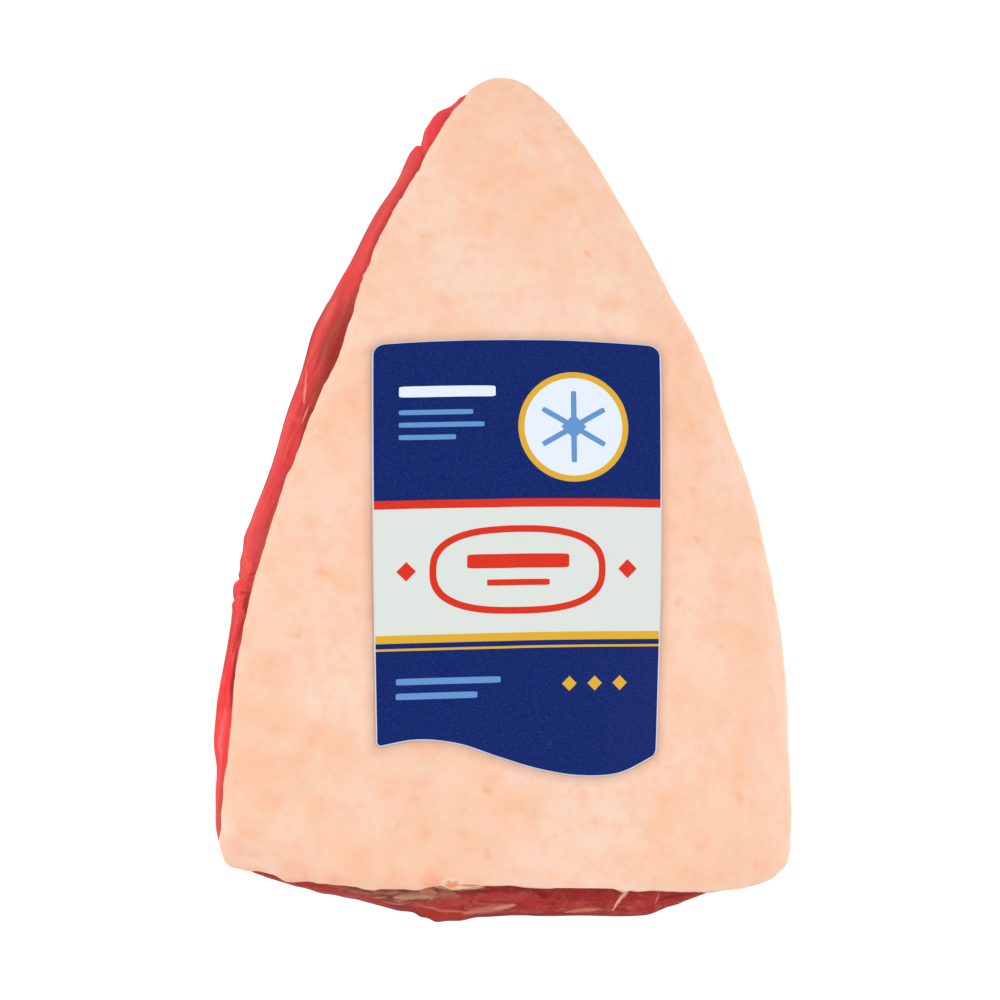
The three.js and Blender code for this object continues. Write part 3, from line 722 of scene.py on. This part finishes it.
def lean_material(height):
    """Red muscle, with the masks that make_lean writes. The height is that of its open side."""
    nodes = Nodes("lean")
    place = nodes.add("TexCoord", output="Object")
    grain = nodes.mask("grain", "Vector")
    spot = nodes.mask("spot", "Vector")
    under = nodes.mask("under")
    end = nodes.mask("end")
    fibres = nodes.mix(
        under,
        nodes.grain(grain, 1.4, stretch=(18, 1, 1)),
        nodes.grain(place, 1.3, stretch=(1, 14, 1)),
    )
    bundles = nodes.mix(
        under,
        nodes.grain(grain, 4.5, detail=2, stretch=(6, 1, 1)),
        nodes.grain(place, 6, detail=2, stretch=(1, 7, 1)),
    )
    cells = nodes.grain(place, 0.7, detail=2)
    left = nodes.math("SUBTRACT", nodes.math("SUBTRACT", 1, end), under, clamp=True)
    colour = muscle_colour(nodes, place, grain, fibres, bundles, end)
    colour = left_colour(nodes, colour, grain, spot, left)
    # Painted shade, low on the side and beside the fat.
    colour = nodes.tint(colour, LEAN_COLOURS["painted_shade"], nodes.mask("painted_shade"))
    colour = mark_colour(nodes, colour, grain, fibres, cells)
    skin = nodes.ramp(nodes.grain(place, 34, detail=3), 0.48, 0.62, 0, 0.6)
    worn = nodes.ramp(fibres, 0.25, 0.7, 1, 0.55)
    colour = nodes.tint(colour, LEAN_COLOURS["silverskin"], under, skin, worn)
    colour = stroke_colour(nodes, colour, spot, fibres, height)
    coarse = nodes.math("ADD", nodes.math("MULTIPLY", bundles, 1.6), fibres)
    normal = nodes.bump(coarse, 0.22)
    normal = nodes.bump(cells, 0.05, normal)
    return nodes.finish(
        Base_Color=colour,
        Roughness=nodes.ramp(cells, 0.3, 0.7, 0.4, 0.55),
        Normal=normal,
        Specular_IOR_Level=0.0,
        Subsurface_Weight=0.2,
        Subsurface_Radius=(1.0, 0.25, 0.2),
        Subsurface_Scale=0.002,
        Coat_Weight=0.15,
        Coat_Roughness=0.3,
    )


def line_share(across, down, line):
    """1 in the middle of a line of points (across, down, half width), 0 at its half width, -1 at most."""
    best = np.full(across.shape, -1.0)
    for (x0, y0, wide0), (x1, y1, wide1) in itertools.pairwise(line):
        dx, dy = x1 - x0, y1 - y0
        t = np.clip(((across - x0) * dx + (down - y0) * dy) / (dx * dx + dy * dy), 0, 1)
        away = np.hypot(across - x0 - t * dx, down - y0 - t * dy)
        best = np.maximum(best, 1 - away / (wide0 + t * (wide1 - wide0)))
    return best


def sides_of(lip):
    """For each column, which side it is on and its place there, from its point where the fat ends."""
    x, y = lip[:, 0], lip[:, 1]
    wide = smoothstep(*WIDE_END["y"], y) * smoothstep(*WIDE_END["x"], x)
    left = (1 - wide) * (x < 0)
    return {LEFT: left, WIDE: wide}, {LEFT: y, WIDE: x}


def painted_shade_amount(drop, place, wide):
    """How much painted shade darkens the lean, low on its side and in stretches of the left side beside the
    fat.
    """
    low = smoothstep(0.48 - 0.02 * wide, 0.6 - 0.04 * wide, drop) * smoothstep(1.08, 1, drop)
    beside_fat = 0
    for start, full, still_full, stop, share in PAINTED_SHADE["stretches"]:
        beside_fat += share * smoothstep(start, full, place) * smoothstep(stop, still_full, place)
    beside_fat = beside_fat * smoothstep(0.36, 0.295, drop) * (1 - wide)
    return np.maximum(PAINTED_SHADE["low"] * low, PAINTED_SHADE["beside fat"] * beside_fat)


def make_lean():
    rings = refine_columns(cad_rings("lean"))
    rim = LEAN_ROWS["kept rings"]
    steps = LEAN_ROWS["covered"] + LEAN_ROWS["open"]
    foot = rim + len(steps)
    side = refine(rings[rim:foot + 1], steps)
    rows = np.concatenate([rings[:rim], side[:-1], straight(rings[foot:], LEAN_ROWS["under"]), rings[-1:]])
    first, last = rim + sum(LEAN_ROWS["covered"]), rim + len(side) - 1
    row = np.arange(len(rows))[:, None] + 0 * rows[..., 0]
    drop = (row - first) / (last - first)
    open_side = smoothstep(0, 0.1, drop) * smoothstep(1.0, 0.85, drop)
    share, place = sides_of(rows[first])
    drawn_back = np.minimum(edge_steps(share, place), 0) * smoothstep(0.12, 0, drop)
    depth = np.cumsum(np.linalg.norm(np.diff(rows, axis=0, prepend=rows[:1]), axis=-1), axis=0)
    depth -= depth[first]
    height = depth[last].mean()
    grain = np.stack([along(rows) + 0 * drop, depth, 0 * drop], axis=-1)

    def near(side, line):
        line = [(p, d * height, width) for p, d, width in line]
        return np.where(share[side] > 0.5, line_share(place[side] + 0 * drop, drop * height, line), -1)

    out = sum(rise * smoothstep(0, 1, near(side, line)) for side, rise, line in FORMS)
    drawn_out = grain * (LEAN_FORM["lengthwise"], 1, 1)
    out = out + relief(drawn_out, FIBRE_RELIEF) + relief(rows, LEAN_RELIEF)
    masks = {kind: np.full_like(drop, -1) for kind in ("dark", "bright", "strand", "fascia")}
    for kind, side, line in MARKS:
        masks[kind] = np.maximum(masks[kind], near(side, line))
    torn = smoothstep(0, 0.5, masks["fascia"])
    out = out + torn * (0.4 + 0.5 * noise(drawn_out * (2, 1, 1), 1.6, 6))
    pressed = LEAN_FORM["pressed out"] * smoothstep(0.03, -0.02, drop)
    rows += normals(rows) * (open_side * out + pressed + drawn_back)[..., None]
    hollows = np.maximum(noise(rows[last:] * (1, 0.12, 0), 5, 7), 0) * (drop[last:] > 1)
    rows[last:, :, 2] = LEAN_FORM["hollows"] * hollows
    rows[..., 2] = np.maximum(rows[..., 2], 0)
    under = smoothstep(0.93, 1.02, drop)
    wide = share[WIDE] + 0 * drop
    where = place[WIDE] * wide + place[LEFT] * (1 - wide)
    # Painted shade, low on the side and beside the fat.
    masks["painted_shade"] = painted_shade_amount(drop, where, wide)
    masks["under"] = under
    masks["end"] = wide + (END_SHARE_UNDER - wide) * under
    masks["grain"] = grain * MM
    masks["spot"] = np.stack([where, drop * height, APART * wide], axis=-1)
    return make_skin("lean_meat", rows, lean_material(height), "lean", masks)


# The fat


def near_curl(nodes, place):
    """Distance from the middle of the curl, 1 at its outline."""
    middle = [v * MM for v in CURL["middle"]]
    away = nodes.add("VectorMath", {0: place, 1: (*middle, 0)}, operation="SUBTRACT")
    reach = CURL["sway"] * MM
    sway = nodes.sway(place, CURL["grains"], (reach, reach, 0))
    away = nodes.add("VectorMath", {0: away, 1: sway}, operation="ADD")
    half = [1 / (v * MM) for v in CURL["half"]]
    away = nodes.add("VectorMath", {0: away, 1: (*half, 0)}, operation="MULTIPLY")
    return nodes.add("VectorMath", {0: away}, "Value", operation="LENGTH")


def fat_material():
    """Mottled fat, with the masks that make_fat writes."""
    nodes = Nodes("fat")
    place = nodes.add("TexCoord", output="Object")
    colour = srgb(*FAT_COLOURS["plain"])
    for size, low, high, most, shade, detail in MOTTLING:
        patches = nodes.grain(place, size, detail=detail)
        colour = nodes.tint(colour, shade, nodes.ramp(patches, low, high, 0, most))
    colour = nodes.tint(colour, FAT_COLOURS["rim"], nodes.mask("rim"))
    uneven = nodes.ramp(nodes.grain(place, 6), 0.3, 0.7, 0.3, 1)
    colour = nodes.tint(colour, FAT_COLOURS["stain"], nodes.mask("stain"), uneven)
    colour = nodes.tint(colour, FAT_COLOURS["cut"], nodes.mask("cut"), 0.35)
    height = nodes.add("SeparateXYZ", {0: place}, "Z")
    below = nodes.ramp(height, CURL["lowest"] * MM, (CURL["lowest"] - 1.6) * MM)
    curl = nodes.math("MULTIPLY_ADD", below, 3, third=near_curl(nodes, place))
    ring = nodes.math("ABSOLUTE", nodes.math("SUBTRACT", curl, 1.35))
    colour = nodes.tint(colour, FAT_COLOURS["round the curl"], nodes.ramp(ring, 0.5, 0.1, 0, 0.3))
    colour = nodes.tint(colour, FAT_COLOURS["curl"], nodes.ramp(curl, 1.3, 0.4, 0, 0.9))
    flat_place = nodes.add("VectorMath", {0: place, 1: (1 / MM, 1 / MM, 0)}, operation="MULTIPLY")
    sliver = nodes.math("SUBTRACT", nodes.stroke(flat_place, *SLIVER["ends"], SLIVER["half"]), below)
    colour = nodes.tint(colour, FAT_COLOURS["sliver"], nodes.ramp(sliver, 0, 0.8, 0, 0.8))
    # A painted shadow of the label on the fat round it.
    painted_label_shadow = nodes.ramp(nodes.mask("label_distance"), 0, PAINTED_LABEL_SHADOW["width"], PAINTED_LABEL_SHADOW["depth"], 0)
    colour = nodes.tint(colour, FAT_COLOURS["painted_label_shadow"], painted_label_shadow)
    lobes = nodes.add(
        "TexVoronoi", {"Vector": place, "Scale": LOBES["count"], "Smoothness": 0.8}, feature="SMOOTH_F1"
    )
    normal = nodes.bump(lobes, LOBES["relief"])
    normal = nodes.bump(nodes.grain(place, 0.8), 0.05, normal)
    normal = nodes.bump(nodes.ramp(ring, 0.8, 0), 0.35, normal)
    return nodes.finish(
        Base_Color=colour,
        Roughness=nodes.ramp(nodes.grain(place, 5), 0.3, 0.7, 0.46, 0.6),
        Normal=normal,
        Specular_IOR_Level=0.12,
        Subsurface_Weight=0.3,
        Subsurface_Radius=(1.0, 0.6, 0.4),
        Subsurface_Scale=0.003,
        Coat_Weight=0.05,
        Coat_Roughness=0.3,
    )


def edge_steps(share, place):
    """How far the fat's edge stands out in each column."""
    out = np.zeros(len(place[LEFT]))
    for side, middle, rise, lower, upper in EDGES:
        t = place[side] - middle
        t = np.where(t < 0, -t / lower, t / upper)
        out += rise * share[side] * smoothstep(1, 0, t)
    return out


def make_fat():
    rings = refine_columns(cad_rings("fat_cap"))
    steps = FAT_ROWS["crown"] + FAT_ROWS["edge"] + FAT_ROWS["below"]
    lip = len(steps)
    crown = sum(FAT_ROWS["crown"])
    widest = crown + sum(FAT_ROWS["edge"])
    first = crown + sum(FAT_ROWS["edge"][:2])
    outside = refine(rings[:lip + 1], steps, level=True)
    share, place = sides_of(rings[lip])
    outward = normals(outside)
    sideways = outward[widest, :, :2] / np.linalg.norm(outward[widest, :, :2], axis=-1, keepdims=True)
    row = np.arange(len(outside))[:, None]
    rim = smoothstep(first, first + 10, row)
    out = relief(outside, FAT_RELIEF) + rim * relief(outside, RIM_RELIEF)
    outside += outward * out[..., None]
    outside[..., :2] += (rim * edge_steps(share, place))[..., None] * sideways
    outside[..., 2] = np.maximum(outside[..., 2], np.minimum(rings[lip][:, 2], HEM_HEIGHT))
    rows = np.concatenate([outside, rings[lip + 1:]])
    stain = np.zeros(rows.shape[:2])
    for x, y, radius, strength in STAINS:
        away = np.hypot(rows[..., 0] - x, rows[..., 1] - y)
        stain = np.maximum(stain, strength * smoothstep(radius, 0.2 * radius, away))
    row = np.arange(len(rows))[:, None]
    cut = smoothstep(widest - 2, widest + 1, row) * (share[LEFT] + share[WIDE])
    right = smoothstep(20, 70, rings[lip, :, 0])
    edge = (0.45 + 0.2 * right) * smoothstep(first, widest, row)
    edge = np.maximum(edge, 0.15 * right * smoothstep(crown - 6, crown + 3, row))
    from_label = label_distance(rows[..., 0], rows[..., 1])
    masks = {"stain": stain, "cut": cut, "rim": edge, "label_distance": from_label}
    return make_skin("fat_layer", rows, fat_material(), "fat_cap", masks)


# The label


def label_outline(u, v):
    """The point of the label at shares u across and v up, from the middle of its foot.

    The third result is how far that point is from the nearer of the upper and lower edges.
    """
    steps = np.linspace(0, LABEL["width"], len(LABEL["wave"]))
    wave = refine(np.stack([steps, LABEL["wave"]], axis=-1), [WAVE_STEPS] * (len(steps) - 1))
    side = np.minimum(u, 1 - u) * LABEL["width"]

    def corner(radius):
        return radius - np.sqrt(radius**2 - np.maximum(radius - side, 0) ** 2)

    def arch(share, size):
        return size * (1 - (2 * share - 1) ** 2)

    lower = corner(LABEL["lower corner"]) - np.interp(u * LABEL["width"], *wave.T)
    upper = LABEL["height"] + arch(u, LABEL["crown"]) - corner(LABEL["upper corner"])
    width = LABEL["width"] + LABEL["taper"] * (2 * v - 1)
    x = LABEL["skew"] * v + (u - 0.5) * width + arch(v, LABEL["bow"]) * (2 * u - 1)
    y = lower + (upper - lower) * v + LABEL["rise"] * u
    return x, y, (upper - lower) * np.minimum(v, 1 - v)


def label_foot():
    """Where the middle of the label's foot lies, so that its outline fills the CAD label's box."""
    low, high = (Vector(corner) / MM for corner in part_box("label"))
    across, up = np.linspace(0, 1, OUTLINE_POINTS), np.linspace(0, 1, OUTLINE_ROWS)
    x, y, _ = label_outline(*np.meshgrid(across, up))
    return (low.x + high.x - x.min() - x.max()) / 2, high.y - y.max()


def label_distance(x, y):
    """How far points are from the label's outline, in millimetres, and less than 0 inside it."""
    t = np.linspace(0, 1, OUTLINE_POINTS)[:-1]
    u = np.concatenate([t, 1 + 0 * t, 1 - t, 0 * t])
    v = np.concatenate([0 * t, t, 1 + 0 * t, 1 - t])
    border = np.stack(label_outline(u, v)[:2]) + np.array(label_foot())[:, None]
    (x0, y0), (x1, y1) = border, np.roll(border, -1, axis=1)
    steep = np.where(y0 == y1, 1, y1 - y0)
    away = np.empty(x.shape)
    for i in range(len(x)):
        px, py = x[i][:, None], y[i][:, None]
        crossed = ((y0 > py) != (y1 > py)) & (px < x0 + (x1 - x0) * (py - y0) / steep)
        outside = crossed.sum(axis=1) % 2 == 0
        away[i] = np.hypot(px - x0, py - y0).min(axis=1) * np.where(outside, 1, -1)
    return away


def label_material():
    """Printed paper: shapes laid over each other, each a diamond, a disc or a bar by its power."""
    nodes = Nodes("label")
    print_place = nodes.mask("print", "Vector")
    colour = srgb(*LABEL_COLOURS["ground"])
    for ink, x, y, half_wide, half_high, power, angle in PRINT:
        turn = math.radians(angle)
        away = nodes.add("VectorMath", {0: print_place, 1: (x, y, 0)}, operation="SUBTRACT")
        total = None
        for half, axis in ((half_wide, turn), (half_high, turn + math.pi / 2)):
            toward = (math.cos(axis) / half, math.sin(axis) / half, 0)
            part = nodes.add("VectorMath", {0: away, 1: toward}, output="Value", operation="DOT_PRODUCT")
            part = nodes.math("POWER", nodes.math("ABSOLUTE", part), power)
            total = nodes.math("ADD", total, part) if total else part
        colour = nodes.tint(colour, INKS[ink], nodes.math("LESS_THAN", total, 1.0))
    place = nodes.add("TexCoord", output="Object")
    fibre = nodes.grain(place, 0.5, detail=4)
    colour = nodes.tint(colour, LABEL_COLOURS["fibre"], nodes.ramp(fibre, 0.4, 0.8, 0, 0.04))
    bare = nodes.math("LESS_THAN", nodes.mask("rim"), LABEL["bare rim"])
    colour = nodes.tint(colour, LABEL_COLOURS["rim"], bare)
    return nodes.finish(
        Base_Color=colour,
        Roughness=nodes.ramp(fibre, 0.3, 0.7, 0.4, 0.52),
        Normal=nodes.bump(fibre, 0.02),
        Specular_IOR_Level=0.05,
    )


def make_label(fat):
    """A sheet laid on the fat, whose points crowd together towards its left and right edges."""
    across, up = LABEL["columns"], LABEL["rows"]
    u, v = np.meshgrid(0.5 - 0.5 * np.cos(np.linspace(0, math.pi, across)), np.linspace(0, 1, up))
    flat_x, flat_y, ends = label_outline(u, v)
    foot_x, foot_y = label_foot()
    x = flat_x + foot_x
    y = flat_y + foot_y
    tree = BVHTree.FromObject(fat, bpy.context.evaluated_depsgraph_get())
    down = Vector((0, 0, -1))
    starts = [Vector((a, b, DROP_HEIGHT)) * MM for a, b in zip(x.flat, y.flat)]
    z = np.array([tree.ray_cast(start, down)[0].z / MM for start in starts]).reshape(x.shape)
    rim = np.minimum(np.minimum(u, 1 - u) * LABEL["width"], ends)
    uneven = 0.6 + 0.4 * noise(np.stack([x, y, z], -1), 22, 21)
    z += LABEL["lift"] + LABEL["curl"] * np.exp(-rim / LABEL["curl width"]) * uneven
    upper = np.stack([x, y, z], -1)
    lower = upper - (0, 0, LABEL["thickness"])
    points = np.concatenate([lower.reshape(-1, 3), upper.reshape(-1, 3)])
    count = across * up
    index = np.arange(count).reshape(up, across)
    a, b, c, d = index[:-1, :-1], index[:-1, 1:], index[1:, 1:], index[1:, :-1]
    bottom = np.stack([a, d, c, b], -1).reshape(-1, 4)
    printed = np.stack([a, b, c, d], -1).reshape(-1, 4) + count
    border = np.concatenate([index[0], index[1:, -1], index[-1, -2::-1], index[-2:0:-1, 0]])
    after = np.roll(border, -1)
    rim_faces = np.stack([border, after, after + count, border + count], -1)
    faces = np.concatenate([bottom, printed, rim_faces]).tolist()
    made = make_object("label_sheet", points, faces, label_material(), "label")
    across_print = flat_x - LABEL["skew"] * v + LABEL["width"] / 2
    flat = np.stack([across_print, flat_y - LABEL["rise"] * u, 0 * x], -1)
    attribute = made.data.attributes.new("print", "FLOAT_VECTOR", "POINT")
    attribute.data.foreach_set("vector", np.tile(flat.reshape(-1, 3), (2, 1)).astype(np.float32).ravel())
    attribute = made.data.attributes.new("rim", "FLOAT", "POINT")
    attribute.data.foreach_set("value", np.tile(rim.ravel(), 2).astype(np.float32))
    return made


look_down()
light_up()
make_floor()
make_lean()
make_label(make_fat())
